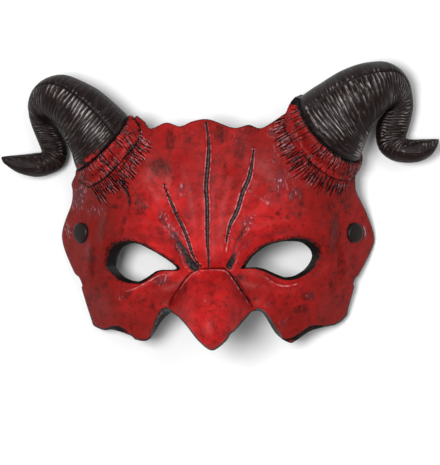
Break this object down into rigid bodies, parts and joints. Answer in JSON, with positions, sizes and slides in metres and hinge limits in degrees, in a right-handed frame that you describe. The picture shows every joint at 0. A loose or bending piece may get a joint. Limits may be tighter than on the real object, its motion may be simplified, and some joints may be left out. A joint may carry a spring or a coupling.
{
  "type": "foam devil half mask",
  "caption": "Half-face devil mask of cast foam with curled ribbed horns, open eyes, a beaked nose and a stud in each temple for a strap.",
  "frame": {"origin": "on the table that the mask lies on, under the middle of its outline", "axes": "+X to the right of someone who looks at the face, which is the wearer's left; +Y up the face; +Z out of the face, away from the wearer"},
  "size_m": [0.2489, 0.1631, 0.0717],
  "materials": {
    "painted_foam": "soft foam skin painted red with black washed into the creases and dark dry-brushed horns, half gloss",
    "stud_plastic": "moulded black plastic, half gloss"
  },
  "bodies": {
    "root": {"mask_casting": "painted_foam", "strap_stud_left": "stud_plastic", "strap_stud_right": "stud_plastic"}
  },
  "joints": []
}
